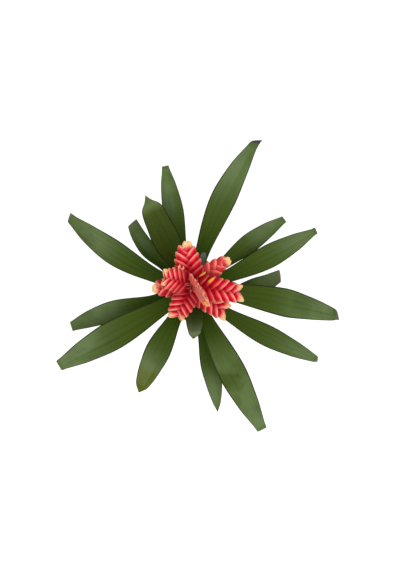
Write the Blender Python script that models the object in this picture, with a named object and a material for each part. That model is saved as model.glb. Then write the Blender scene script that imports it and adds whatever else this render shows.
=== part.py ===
# Potted bromeliad: a rosette of strap leaves round a stalk with eight feather-shaped flower
# spikes, in a plain grower's pot. Metres, +Z up. The origin is the middle of the pot's underside,
# and +Y is the side that the flower stalk leans to.

import math

import bmesh
import bpy
from mathutils import Matrix, Vector

MM = 0.001

# Air left between two pieces that touch.
touch_gap = 0.3 * MM

# Pot
pot_height = 108 * MM
pot_rim_radius = 60 * MM
pot_base_radius = 44 * MM
pot_wall = 1.6 * MM
pot_floor = 2.2 * MM
rim_height = 9 * MM
rim_overhang = 2.4 * MM
foot_chamfer = 1.5 * MM
drain_count = 6
drain_radius = 4 * MM
drain_circle_radius = 31 * MM
drain_sides = 12
pot_sides = 40

# Soil, measured down from the rim
soil_drop = 12 * MM

# Crown: the stock that the leaves grow from, part buried
crown_ledge = 2 * MM
crown_buried = 9 * MM
crown_shoulder = 4 * MM
crown_cone_height = 16 * MM
crown_sides = 36

# Leaves. Each sheath clasps the one inside it, a step further out.
leaf_thickness = 1.0 * MM
sheath_step = 1.75 * MM
stalk_clearance = 2 * MM
sheath_start_degrees = 80
outer_sheath_wrap_degrees = 55
inner_sheath_wrap_degrees = 70
inner_leaf_count = 5
fold_start = 0.915
fold_end = 0.955
channel_depth = 2.5 * MM
leaf_columns = 6
leaf_rows = (0, 0.06, 0.14, 0.23, 0.33, 0.45, 0.57, 0.69, 0.8, 0.87, 0.915, 0.935, 0.955, 1)
profile_steps = 240

# Flower stalk
scape_base_radius = 5.0 * MM
scape_top_radius = 3.4 * MM
scape_length = 275.7 * MM
scape_lean_x = 2 * MM
scape_lean_y = 9 * MM
scape_sides = 12
scape_rings = 12

# Leaves clasped round the stalk: how far up the stalk each begins, and the way it faces
scape_bract_starts = ((42 * MM, 200), (76 * MM, 320), (110 * MM, 80), (142 * MM, 215))
scape_bract_length = 46 * MM
scape_bract_thickness = 0.9 * MM
scape_bract_wrap_degrees = 82
scape_bract_flare = 5 * MM
scape_bract_columns = 8

# Flower spikes
stipe_radius = 2.0 * MM
spike_tip_radius = 1.0 * MM
stipe_length = 8 * MM
bract_pitch = 7 * MM
bract_length = 33 * MM
bract_width = 13.5 * MM
bract_thickness = 6.4 * MM
bract_spread_degrees = 44
top_bract_spread_degrees = 20
terminal_bract_length = 23 * MM
bract_root_inset = 1.5 * MM
last_bract_length_share = 0.84

# Flower buds
bud_length = 17 * MM
bud_radius = 2.3 * MM
bud_sides = 8

# Lowest and outermost leaf first. Headings are degrees round the pot from +X at the base, half
# way and the tip. Reach is from the middle of the pot to the outermost point. The last two are how
# steep the blade still is before its end folds, and how far the end turns down from that.
leaf_table = (
    # base, middle, tip, reach mm, width mm, end slope, end droop
    (-7, -1, 10, 165, 33, -14, 70),
    (142, 139.5, 130.5, 163, 30, -13, 75),
    (-76, -75.5, -78, 226, 36, -12, 25),
    (-159, -164, -162, 226, 38, -12, 76),
    (105, 103.5, 101.8, 225, 37, -11, 78),
    (37, 38.5, 36.6, 208, 35, -10, 80),
    (-121, -119, -117, 208, 46, -9, 30),
    (-40, -33, -29, 257, 38, -9, 66),
    (15, 21.5, 25.5, 243, 42, -8, 80),
    (165, 157, 148.6, 251, 44, -7, 66),
    (76, 72, 65.6, 286, 45, -6, 50),
    (-1, -6.5, -10.6, 263, 50, -6, 58),
    (-147, -149, -150, 264, 52, -5, 82),
    (-65, -64, -63, 270, 49, -4, 84),
    (118, 117, 116, 179, 50, 22, 40),
    (-78, -81, -86, 87, 37, 52, 70),
    (70, 70, 70, 71, 26, 62, 60),
)
leaf_count = len(leaf_table)

# Name, distance below the stalk's top, heading, elevation, bracts and bract size of each side
# spike. Its flat face looks up and inward. The top spike stands on the stalk's end.
side_spikes = (
    ("spike_west_lower", 92 * MM, 181, 44, 8, 0.95),
    ("spike_southeast", 80 * MM, -37, 37, 9, 1.08),
    ("spike_northeast", 70 * MM, 37, 33, 9, 0.85),
    ("spike_southwest", 52 * MM, -117, 51, 9, 1.02),
    ("spike_north", 40 * MM, 99, 45, 9, 1.12),
    ("spike_east", 30 * MM, -10, 37, 11, 1.02),
    ("spike_west_upper", 16 * MM, 164, 61, 9, 1.0),
)
top_spike = ("spike_top", -45, 71, 11, 1.2)
top_spike_roll_degrees = -23

# Bud, the spike it grows from, distance along the spike, sideways offset and turn off the spike
bud_table = (
    ("bud_top", "spike_top", 92 * MM, 5 * MM, 10),
    ("bud_north", "spike_north", 11 * MM, 13.5 * MM, 50),
    ("bud_east", "spike_east", 27 * MM, -7.5 * MM, -42),
)
bud_lift = 3.4 * MM

pot_colour = (0.035, 0.036, 0.038)
soil_colour = (0.06, 0.038, 0.024)
crown_colour = (0.16, 0.2, 0.07)
leaf_colour = (0.055, 0.12, 0.025)
scape_colour = (0.2, 0.2, 0.05)
scape_bract_colour = (0.3, 0.07, 0.04)
spike_colour = (0.62, 0.04, 0.05)
bud_colour = (0.85, 0.42, 0.05)

soil_top = pot_height - soil_drop
crown_bottom = soil_top - crown_buried
crown_shoulder_height = soil_top + crown_shoulder
crown_top = crown_shoulder_height + crown_cone_height
scape_bottom = crown_top + touch_gap
scape_top_height = scape_bottom + scape_length
innermost_sheath_radius = scape_base_radius + stalk_clearance + leaf_thickness
outermost_sheath_radius = innermost_sheath_radius + sheath_step * (leaf_count - 1)
crown_radius = outermost_sheath_radius + crown_ledge
crown_top_radius = innermost_sheath_radius - leaf_thickness - 2 * touch_gap


def clear_scene():
    for item in list(bpy.data.objects):
        bpy.data.objects.remove(item, do_unlink=True)


def make_material(name, colour, roughness):
    material = bpy.data.materials.new(name)
    material.use_nodes = True
    shader = material.node_tree.nodes["Principled BSDF"]
    shader.inputs["Base Color"].default_value = (*colour, 1)
    shader.inputs["Roughness"].default_value = roughness
    shader.inputs["Metallic"].default_value = 0
    return material


def add_object(name, work, colour, roughness, smooth_angle=40):
    bmesh.ops.recalc_face_normals(work, faces=work.faces)
    if work.calc_volume(signed=True) < 0:
        bmesh.ops.reverse_faces(work, faces=work.faces)
    mesh = bpy.data.meshes.new(name)
    work.to_mesh(mesh)
    work.free()
    mesh.materials.append(make_material(name, colour, roughness))
    mesh.shade_smooth()
    mesh.set_sharp_from_angle(angle=math.radians(smooth_angle))
    item = bpy.data.objects.new(name, mesh)
    bpy.context.scene.collection.objects.link(item)
    return item


def turned(outline, sides):
    # A closed outline of (radius, height) points turned about Z. Points on the axis close it.
    work = bmesh.new()
    chain = [work.verts.new((radius, 0, height)) for radius, height in outline]
    edges = [work.edges.new(pair) for pair in zip(chain, chain[1:])]
    bmesh.ops.spin(
        work, geom=chain + edges, cent=(0, 0, 0), axis=(0, 0, 1),
        angle=math.tau, steps=sides, use_merge=True,
    )
    bmesh.ops.remove_doubles(work, verts=work.verts, dist=0.01 * MM)
    return work


def loft(rings, flat_strip=False):
    # Skins a list of rings that have the same number of points, and caps both ends. A flat
    # strip's ring runs along its lower face and back along its upper one, so its ends are
    # closed with a row of four-sided faces.
    work = bmesh.new()
    loops = [[work.verts.new(point) for point in ring] for ring in rings]
    count = len(loops[0])
    for low, high in zip(loops, loops[1:]):
        for index in range(count):
            after = (index + 1) % count
            work.faces.new((low[index], low[after], high[after], high[index]))
    for ring in (loops[0], loops[-1]):
        if not flat_strip:
            work.faces.new(ring)
            continue
        for index in range(count // 2 - 1):
            partner = count - 1 - index
            work.faces.new((ring[index], ring[index + 1], ring[partner - 1], ring[partner]))
    return work


def apply_boolean(target, cutter, operation):
    modifier = target.modifiers.new("join", "BOOLEAN")
    modifier.operation = operation
    modifier.solver = "EXACT"
    modifier.object = cutter
    graph = bpy.context.evaluated_depsgraph_get()
    graph.update()
    result = bpy.data.meshes.new_from_object(target.evaluated_get(graph))
    target.modifiers.remove(modifier)
    old = target.data
    target.data = result
    bpy.data.meshes.remove(old)


def union_all(name, works, colour, roughness):
    target = add_object(name, works[0], colour, roughness)
    for work in works[1:]:
        piece = add_object("joined_piece", work, colour, roughness)
        apply_boolean(target, piece, "UNION")
        bpy.data.objects.remove(piece, do_unlink=True)
    keep_one_material(target)
    return target


def keep_one_material(item):
    while len(item.data.materials) > 1:
        item.data.materials.pop()
    for face in item.data.polygons:
        face.material_index = 0


def pot_inner_radius(height):
    slope = (pot_rim_radius - rim_overhang - pot_base_radius) / pot_height
    return pot_base_radius + slope * height - pot_wall


def build_pot():
    rim_bottom = pot_height - rim_height
    body_at_rim = pot_inner_radius(rim_bottom) + pot_wall
    round_off = rim_overhang / 3
    outline = (
        (0, 0),
        (pot_base_radius - foot_chamfer, 0),
        (pot_base_radius, foot_chamfer),
        (body_at_rim, rim_bottom),
        (pot_rim_radius - round_off, rim_bottom),
        (pot_rim_radius, rim_bottom + round_off),
        (pot_rim_radius, pot_height - round_off),
        (pot_rim_radius - round_off, pot_height),
        (pot_inner_radius(pot_height), pot_height),
        (pot_inner_radius(pot_floor), pot_floor),
        (0, pot_floor),
    )
    pot = add_object("pot", turned(outline, pot_sides), pot_colour, 0.55)
    drill = bmesh.new()
    for index in range(drain_count):
        turn = math.tau * (index + 0.5) / drain_count
        place = Vector((math.cos(turn), math.sin(turn), 0)) * drain_circle_radius
        bmesh.ops.create_cone(
            drill, cap_ends=True, segments=drain_sides, radius1=drain_radius,
            radius2=drain_radius, depth=4 * pot_floor,
            matrix=Matrix.Translation(place),
        )
    cutter = add_object("drain_cutter", drill, pot_colour, 0.55)
    apply_boolean(pot, cutter, "DIFFERENCE")
    bpy.data.objects.remove(cutter, do_unlink=True)
    keep_one_material(pot)


def build_soil():
    recess_radius = crown_radius + touch_gap
    floor_height = pot_floor + touch_gap
    outline = (
        (0, floor_height),
        (pot_inner_radius(floor_height) - touch_gap, floor_height),
        (pot_inner_radius(soil_top) - touch_gap, soil_top),
        (recess_radius, soil_top),
        (recess_radius, crown_bottom - touch_gap),
        (0, crown_bottom - touch_gap),
    )
    add_object("soil", turned(outline, pot_sides), soil_colour, 0.95)


def build_crown():
    outline = (
        (0, crown_bottom),
        (crown_radius, crown_bottom),
        (crown_radius, crown_shoulder_height),
        (crown_top_radius, crown_top),
        (0, crown_top),
    )
    add_object("crown", turned(outline, crown_sides), crown_colour, 0.7)


def smooth_step(low, high, value):
    share = min(max((value - low) / (high - low), 0), 1)
    return share * share * (3 - 2 * share)


def crown_height_at(radius):
    share = (crown_radius - radius) / (crown_radius - crown_top_radius)
    return crown_shoulder_height + crown_cone_height * share


def leaf_slope(along, end_slope, droop, rank_share):
    # Degrees above the horizontal. Low leaves bend outward early, so they stay under the others.
    power = 0.72 + 0.2 * rank_share
    arch = sheath_start_degrees + (end_slope - sheath_start_degrees) * along ** power
    return arch - droop * smooth_step(fold_start, fold_end, along)


def leaf_profile(rank, reach, end_slope, droop):
    # Radius, height and slope at even steps along the leaf, as long as it takes to span reach.
    rank_share = rank / (leaf_count - 1)
    start_radius = outermost_sheath_radius - sheath_step * rank
    slopes = [
        math.radians(leaf_slope(step / profile_steps, end_slope, droop, rank_share))
        for step in range(profile_steps + 1)
    ]
    outs = [0]
    ups = [0]
    for before, after in zip(slopes, slopes[1:]):
        outs.append(outs[-1] + (math.cos(before) + math.cos(after)) / 2)
        ups.append(ups[-1] + (math.sin(before) + math.sin(after)) / 2)
    scale = (reach - start_radius) / max(outs)
    base_height = crown_height_at(start_radius - leaf_thickness) + touch_gap
    return [
        (start_radius + scale * out, base_height + scale * up, slope)
        for out, up, slope in zip(outs, ups, slopes)
    ]


def read_profile(profile, along):
    place = along * profile_steps
    index = min(int(place), profile_steps - 1)
    share = place - index
    low = profile[index]
    high = profile[index + 1]
    return [a + (b - a) * share for a, b in zip(low, high)]


def leaf_width(along, start_radius, rank, blade_width):
    # The sheath clasps the plant, the neck is narrow, and the blade is widest past half way.
    inner = rank >= leaf_count - inner_leaf_count
    wrap_degrees = inner_sheath_wrap_degrees if inner else outer_sheath_wrap_degrees
    sheath = 2 * start_radius * math.radians(wrap_degrees)
    stops = (
        (0, sheath), (0.1, 0.85 * sheath), (0.3, 0.57 * blade_width), (0.63, blade_width),
        (0.8, 0.84 * blade_width), (0.87, 0.62 * blade_width), (fold_start, 0.45 * blade_width),
        (fold_end, 0.32 * blade_width), (1, 0.06 * blade_width),
    )
    for (low, low_width), (high, high_width) in zip(stops, stops[1:]):
        if along <= high:
            return low_width + (high_width - low_width) * (along - low) / (high - low)
    return stops[-1][1]


def leaf_heading(along, base, middle, tip):
    # The curve through the three headings, in degrees.
    return (
        base * (1 - along) * (1 - 2 * along)
        + 4 * middle * along * (1 - along)
        + tip * along * (2 * along - 1)
    )


def leaf_point(profile, rank, along, across, layer):
    base, middle, tip, _, blade_width, _, _ = leaf_table[rank]
    radius, height, slope = read_profile(profile, along)
    width = leaf_width(along, profile[0][0], rank, blade_width * MM)
    channel = channel_depth * smooth_step(0.2, 0.6, along) * (1 - smooth_step(0.8, 1, along))
    lift = layer * leaf_thickness + channel * across * across
    radius_here = radius - lift * math.sin(slope)
    height_here = height + lift * math.cos(slope)
    turn = math.radians(leaf_heading(along, base, middle, tip)) + across * width / (2 * radius)
    return Vector((radius_here * math.cos(turn), radius_here * math.sin(turn), height_here))


def build_leaf(rank):
    _, _, _, reach, _, end_slope, droop = leaf_table[rank]
    profile = leaf_profile(rank, reach * MM, end_slope, droop)
    across_steps = [2 * step / leaf_columns - 1 for step in range(leaf_columns + 1)]
    rings = []
    for along in leaf_rows:
        under = [leaf_point(profile, rank, along, across, 0) for across in across_steps]
        over = [leaf_point(profile, rank, along, across, 1) for across in reversed(across_steps)]
        rings.append(under + over)
    add_object(f"leaf_{rank + 1:02d}", loft(rings, flat_strip=True), leaf_colour, 0.4)


def scape_point(height):
    share = (height - scape_bottom) / (scape_top_height - scape_bottom)
    return Vector((scape_lean_x * share ** 2, scape_lean_y * share ** 2, height))


def scape_radius(height):
    share = (height - scape_bottom) / (scape_top_height - scape_bottom)
    return scape_base_radius + (scape_top_radius - scape_base_radius) * share


def build_scape():
    rings = []
    for step in range(scape_rings + 1):
        height = scape_bottom + (scape_top_height - scape_bottom) * step / scape_rings
        middle = scape_point(height)
        radius = scape_radius(height)
        rings.append([
            middle + radius * Vector((math.cos(turn), math.sin(turn), 0))
            for turn in (math.tau * side / scape_sides for side in range(scape_sides))
        ])
    add_object("scape", loft(rings), scape_colour, 0.5)


def build_scape_bract(index, start, heading):
    # A clasping sheath that narrows to a tip and leans off the stalk.
    start_height = scape_bottom + start
    rings = []
    for along in (0, 0.25, 0.5, 0.75, 1):
        middle = scape_point(start_height + scape_bract_length * along)
        inner = scape_radius(start_height) + 2 * touch_gap + scape_bract_flare * along ** 2
        wrap = math.radians(scape_bract_wrap_degrees) * (1 - 0.93 * along ** 1.6)
        columns = range(scape_bract_columns + 1)
        ring = []
        for radius, order in ((inner, columns), (inner + scape_bract_thickness, reversed(columns))):
            for column in order:
                turn = math.radians(heading) + wrap * (2 * column / scape_bract_columns - 1)
                ring.append(middle + radius * Vector((math.cos(turn), math.sin(turn), 0)))
        rings.append(ring)
    name = f"scape_bract_{index + 1}"
    add_object(name, loft(rings, flat_strip=True), scape_bract_colour, 0.5)


def bract_work(root, spread_degrees, length):
    # One folded bract in the spike's own frame: X across, Y along the spike, Z off its face.
    turn = math.radians(spread_degrees)
    out = Vector((math.sin(turn), math.cos(turn), 0))
    side = Vector((math.cos(turn), -math.sin(turn), 0))
    face = Vector((0, 0, 1))
    stations = ((0, 0.45, 0.7), (0.45, 1, 1), (1, 0.3, 0.22))
    rings = []
    for along, wide, thick in stations:
        middle = root + out * length * along
        half_width = bract_width * wide / 2
        half_thickness = bract_thickness * thick / 2
        rings.append([
            middle + side * half_width, middle + face * half_thickness,
            middle - side * half_width, middle - face * half_thickness,
        ])
    return loft(rings)


def spike_works(bract_count, bract_size):
    axis_end = stipe_length + bract_pitch * bract_count
    rings = []
    for height, radius in ((0, stipe_radius), (stipe_length, stipe_radius),
                           (axis_end, spike_tip_radius)):
        rings.append([
            Vector((radius * math.cos(turn), height, -radius * math.sin(turn)))
            for turn in (math.tau * (side + 0.5) / 6 for side in range(6))
        ])
    works = [loft(rings)]
    for index in range(bract_count):
        share = index / (bract_count - 1)
        spread = bract_spread_degrees
        spread += (top_bract_spread_degrees - bract_spread_degrees) * share ** 2
        hand = 1 if index % 2 == 0 else -1
        root = Vector((-hand * bract_root_inset, stipe_length + bract_pitch * index, 0))
        length = bract_length * bract_size * (1 - (1 - last_bract_length_share) * share ** 2)
        works.append(bract_work(root, hand * spread, length))
    tip_root = Vector((0, axis_end - 2 * bract_root_inset, 0))
    works.append(bract_work(tip_root, 0, terminal_bract_length * bract_size))
    return works


def spike_matrix(base, heading, elevation, edge_on):
    # Columns are the spike's across, along and face directions in the world.
    turn = math.radians(heading)
    rise = math.radians(elevation)
    along = Vector((
        math.cos(rise) * math.cos(turn), math.cos(rise) * math.sin(turn), math.sin(rise),
    ))
    level = Vector((math.sin(turn), -math.cos(turn), 0))
    across = level
    if edge_on:
        across = along.cross(level)
    face = across.cross(along)
    turned_frame = Matrix((across, along, face)).transposed().to_4x4()
    roll = Matrix.Rotation(math.radians(top_spike_roll_degrees if edge_on else 0), 4, "Y")
    return Matrix.Translation(base) @ turned_frame @ roll


def spike_places():
    places = {}
    for name, below_top, heading, elevation, _, _ in side_spikes:
        height = scape_top_height - below_top
        rise = math.radians(elevation)
        clear = scape_radius(height) + touch_gap + stipe_radius * math.sin(rise)
        turn = math.radians(heading)
        along = Vector((
            math.cos(rise) * math.cos(turn), math.cos(rise) * math.sin(turn), math.sin(rise),
        ))
        base = scape_point(height) + along * (clear / math.cos(rise))
        places[name] = spike_matrix(base, heading, elevation, False)
    name, heading, elevation, _, _ = top_spike
    tilt = math.radians(90 - elevation)
    base = scape_point(scape_top_height)
    base.z += touch_gap + stipe_radius * math.sin(tilt)
    places[name] = spike_matrix(base, heading, elevation, True)
    return places


def bud_work(grow):
    rings = []
    for along, share in ((0, 0.5), (0.3, 1), (0.7, 0.85), (1, 0.25)):
        radius = bud_radius * share + grow
        height = along * bud_length + (2 * along - 1) * grow
        rings.append([
            Vector((radius * math.cos(turn), height, -radius * math.sin(turn)))
            for turn in (math.tau * side / bud_sides for side in range(bud_sides))
        ])
    return loft(rings)


def build_spikes():
    places = spike_places()
    spikes = {}
    for *place, count, size in (*side_spikes, top_spike):
        name = place[0]
        spike = union_all(name, spike_works(count, size), spike_colour, 0.35)
        spike.data.transform(places[name])
        spikes[name] = spike
    for name, spike_name, along, aside, turn in bud_table:
        local = Matrix.Translation((aside, along, bud_lift))
        local = local @ Matrix.Rotation(-math.radians(turn), 4, "Z")
        place = places[spike_name] @ local
        pocket = add_object("bud_pocket", bud_work(touch_gap), bud_colour, 0.4)
        pocket.data.transform(place)
        apply_boolean(spikes[spike_name], pocket, "DIFFERENCE")
        keep_one_material(spikes[spike_name])
        bpy.data.objects.remove(pocket, do_unlink=True)
        bud = add_object(name, bud_work(0), bud_colour, 0.4)
        bud.data.transform(place)


clear_scene()
build_pot()
build_soil()
build_crown()
for leaf_rank in range(leaf_count):
    build_leaf(leaf_rank)
build_scape()
for bract_index, (bract_start, bract_heading) in enumerate(scape_bract_starts):
    build_scape_bract(bract_index, bract_start, bract_heading)
build_spikes()
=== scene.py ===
import bmesh
import bpy
import math
import random
from mathutils import Matrix, Vector, noise


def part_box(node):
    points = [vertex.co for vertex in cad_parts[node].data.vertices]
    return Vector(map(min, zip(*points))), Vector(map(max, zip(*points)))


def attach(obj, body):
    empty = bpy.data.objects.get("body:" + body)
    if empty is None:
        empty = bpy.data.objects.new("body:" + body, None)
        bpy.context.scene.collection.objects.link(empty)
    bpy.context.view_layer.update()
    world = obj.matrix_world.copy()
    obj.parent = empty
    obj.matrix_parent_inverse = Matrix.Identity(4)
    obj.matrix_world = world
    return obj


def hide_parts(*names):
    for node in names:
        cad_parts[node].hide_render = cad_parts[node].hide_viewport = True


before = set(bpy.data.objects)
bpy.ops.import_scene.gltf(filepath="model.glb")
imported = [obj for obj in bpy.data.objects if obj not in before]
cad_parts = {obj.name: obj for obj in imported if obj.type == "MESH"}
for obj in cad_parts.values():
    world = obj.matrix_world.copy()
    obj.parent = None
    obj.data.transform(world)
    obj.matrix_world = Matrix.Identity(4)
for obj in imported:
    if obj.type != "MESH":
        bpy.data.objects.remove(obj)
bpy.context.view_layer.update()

mm = 0.001
gap = 0.3 * mm  # air between two pieces that touch


def easeStep(low, high, value):
    share = min(max((value - low) / (high - low), 0), 1)
    return share * share * (3 - 2 * share)


def easeThrough(stops, where):  # a smooth curve through (place, value) pairs
    places = [place for place, value in stops]
    values = [value for place, value in stops]
    if where <= places[0]:
        return values[0]
    if where >= places[-1]:
        return values[-1]
    right = next(index for index, place in enumerate(places) if place >= where)
    left = right - 1
    span = places[right] - places[left]

    def tangent(index):
        before = max(index - 1, 0)
        after = min(index + 1, len(places) - 1)
        return (values[after] - values[before]) / (places[after] - places[before])

    share = (where - places[left]) / span
    square = share * share
    cube = square * share
    return (
        (2 * cube - 3 * square + 1) * values[left] + (cube - 2 * square + share) * span * tangent(left)
        + (3 * square - 2 * cube) * values[right] + (cube - square) * span * tangent(right)
    )


def meshFrom(name, work):
    mesh = bpy.data.meshes.new(name)
    work.to_mesh(mesh)
    work.free()
    return mesh


def finishPiece(name, mesh, material, nodes=(), thickness=0, weights=None):
    piece = bpy.data.objects.new(name, mesh)
    bpy.context.scene.collection.objects.link(piece)
    mesh.materials.append(material)
    mesh.shade_smooth()
    if thickness:
        wall = piece.modifiers.new("wall", "SOLIDIFY")
        wall.thickness = thickness
        wall.offset = 0
        if weights:
            body = piece.vertex_groups.new(name="body")
            for index, weight in weights:
                body.add([index], weight, "REPLACE")
            wall.vertex_group = "body"
            wall.thickness_vertex_group = 0.25
    if nodes:
        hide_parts(*nodes)
    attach(piece, "root")
    return piece


def mapFaces(faces, layer, flat):  # gives each corner its vertex's place on a flat map
    for face in faces:
        for loop in face.loops:
            loop[layer].uv = flat[loop.vert]


class Nodes:  # a short way to add and join shader nodes
    def __init__(self, name):
        self.material = bpy.data.materials.new(name)
        self.material.use_nodes = True
        self.tree = self.material.node_tree
        self.shader = self.tree.nodes["Principled BSDF"]

    def add(self, kind, **settings):
        node = self.tree.nodes.new("ShaderNode" + kind)
        for key, value in settings.items():
            if key in node.inputs.keys():
                self.plug(value, node.inputs[key])
            else:
                setattr(node, key, value)
        return node

    def plug(self, value, socket):
        if isinstance(value, bpy.types.NodeSocket):
            self.tree.links.new(value, socket)
        else:
            socket.default_value = value

    def math(self, operation, first, second=0.0):
        node = self.add("Math", operation=operation)
        self.plug(first, node.inputs[0])
        self.plug(second, node.inputs[1])
        return node.outputs[0]

    def ramp(self, factor, low, high):  # 0 below low, 1 above high, smooth between
        node = self.add("MapRange", interpolation_type="SMOOTHSTEP", Value=factor)
        node.inputs["From Min"].default_value = low
        node.inputs["From Max"].default_value = high
        return node.outputs["Result"]

    def mix(self, factor, first, second):
        node = self.add("Mix", data_type="RGBA")
        self.plug(factor, node.inputs["Factor"])
        for value, socket in ((first, node.inputs[6]), (second, node.inputs[7])):
            self.plug(value if isinstance(value, bpy.types.NodeSocket) else (*value, 1), socket)
        return node.outputs[2]

    def share(self, amount, factor, first, second):  # a mix whose full strength is amount
        return self.mix(self.math("MULTIPLY", factor, amount), first, second)

    def place(self):
        return self.add("TexCoord").outputs["Object"]

    def uv(self, name):
        node = self.add("UVMap", uv_map=name)
        parts = self.add("SeparateXYZ", Vector=node.outputs["UV"])
        return node.outputs["UV"], parts.outputs["X"], parts.outputs["Y"]

    def sideways(self, across):  # 0 on the midline of a map, 1 at both edges
        return self.math("ABSOLUTE", self.math("SUBTRACT", self.math("MULTIPLY", across, 2.0), 1.0))

    def noise(self, vector, scale, detail=3.0, stretch=None):
        if stretch:
            vector = self.add("Mapping", Vector=vector, Scale=stretch).outputs["Vector"]
        node = self.add("TexNoise", Vector=vector, Scale=scale, Detail=detail, Roughness=0.55)
        return node.outputs["Fac"]

    def bump(self, height, strength, distance):
        node = self.add("Bump", Height=height, Strength=strength, Distance=distance)
        self.plug(node.outputs["Normal"], self.shader.inputs["Normal"])

    def colour(self, value):
        self.plug(value, self.shader.inputs["Base Color"])

    def roughness(self, value):
        self.plug(value, self.shader.inputs["Roughness"])


leafLook = {
    "veins": (36.0, 1.3, 1.0),  # fine lengthwise lines
    "folds": (8.0, 0.8, 1.0),  # broad lengthwise bands
    "patches": 16.0,
    "specks": 70.0,
    "speck": (0.3, 0.34, 0.2),
    "inner": (0.046, 0.084, 0.004),
    "outer": (0.056, 0.100, 0.010),
    "dark": (0.034, 0.063, 0.004),
    # grey-green on the outer blade: partly a bloom of scales, partly painted sheen from the overhead light
    "bloomAndSheen": (0.118, 0.178, 0.052),
    "bloomAndSheenShare": 0.8,
    "bloomAndSheenFrom": 0.59,
    "edge": (0.010, 0.020, 0.003),
    "rim": (0.13, 0.18, 0.04),
    "tip": (0.05, 0.07, 0.015),
    "tipFrom": 0.93,
    "tipTo": 0.99,
    "dry": (0.018, 0.012, 0.005),
    "dryFrom": 0.975,
    "roughness": 0.38,
    "gloss": 0.2,
}


def leafMaterial(name, changes):
    look = {**leafLook, **changes}
    n = Nodes(name)
    place, across, along = n.uv("leafMap")
    middle = n.sideways(across)
    objectPlace = n.place()
    veins = n.noise(place, 1.0, 3.0, look["veins"])
    folds = n.noise(place, 1.0, 2.0, look["folds"])
    patches = n.noise(objectPlace, look["patches"], 3.0)
    colour = n.mix(n.ramp(along, 0.3, 0.85), look["inner"], look["outer"])
    colour = n.share(0.65, n.ramp(folds, 0.42, 0.68), colour, look["dark"])
    # painted sheen: grey-green patches from part way along the blade, together with the scale bloom
    bloomAndSheen = n.math("MULTIPLY", n.ramp(along, look["bloomAndSheenFrom"], look["bloomAndSheenFrom"] + 0.24),
                   n.ramp(patches, 0.28, 0.56))
    colour = n.share(look["bloomAndSheenShare"], bloomAndSheen, colour, look["bloomAndSheen"])
    # painted highlight streaks: light lengthwise lines in the bloom-and-sheen colour on the outer blade
    lines = n.math("MULTIPLY", n.ramp(veins, 0.45, 0.7), n.ramp(along, 0.5, 0.85))
    colour = n.share(0.42, lines, colour, look["bloomAndSheen"])
    colour = n.share(0.5, n.ramp(veins, 0.47, 0.28), colour, look["dark"])
    colour = n.mix(n.ramp(along, look["tipFrom"], look["tipTo"]), colour, look["tip"])
    specks = n.add("TexVoronoi", Vector=objectPlace, Scale=look["specks"]).outputs["Distance"]
    speckShare = n.math("MULTIPLY", n.ramp(specks, 0.07, 0.03), n.ramp(patches, 0.58, 0.64))
    colour = n.share(0.6, speckShare, colour, look["speck"])
    colour = n.share(0.9, n.ramp(middle, 0.87, 0.96), colour, look["edge"])
    colour = n.share(0.5, n.ramp(middle, 0.992, 1.0), colour, look["rim"])
    colour = n.mix(n.ramp(along, look["dryFrom"], look["dryFrom"] + 0.016), colour, look["dry"])
    n.colour(colour)
    n.roughness(n.math("ADD", look["roughness"], n.math("MULTIPLY", patches, 0.14)))
    n.shader.inputs["Specular IOR Level"].default_value = look["gloss"]
    n.bump(n.math("ADD", n.math("MULTIPLY", folds, 0.7), n.math("MULTIPLY", veins, 0.4)), 0.55, 0.0012)
    return n.material


leafSizes = {
    "thickness": 1.0 * mm,
    "sheathStep": 1.75 * mm,
    "innermostRadius": 8.0 * mm,
    "startSlope": 80,
    "bendPower": (0.72, 0.92),  # how late the outermost and the innermost leaf bend over
    "foldStart": 0.915,
    "foldEnd": 0.955,
    "sheathWrap": (55, 70),  # half the turn that an outer and an inner sheath goes round
    "outerCount": 12,
    "sheathEnd": (0.1, 0.85),
    "waistAt": 0.3,
    "waist": 0.57,
    "belly": 0.63,
    "shoulder": (0.8, 0.6, 0.42),
    "neck": 0.75,
    "tip": 0.02,
    "channel": 2.5 * mm,
    "wave": (0.5, 1.0),  # in mm
    "waveTurns": (9, 2.5),
    "creaseDepth": (0.3, 0.8),  # in mm
    "creaseWidth": 0.16,
    "hookEnd": 1.03,
    "crowding": 0.4,
    "acrossSteps": 18,
    "alongSteps": 110,
    "profileSteps": 400,
}
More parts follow.
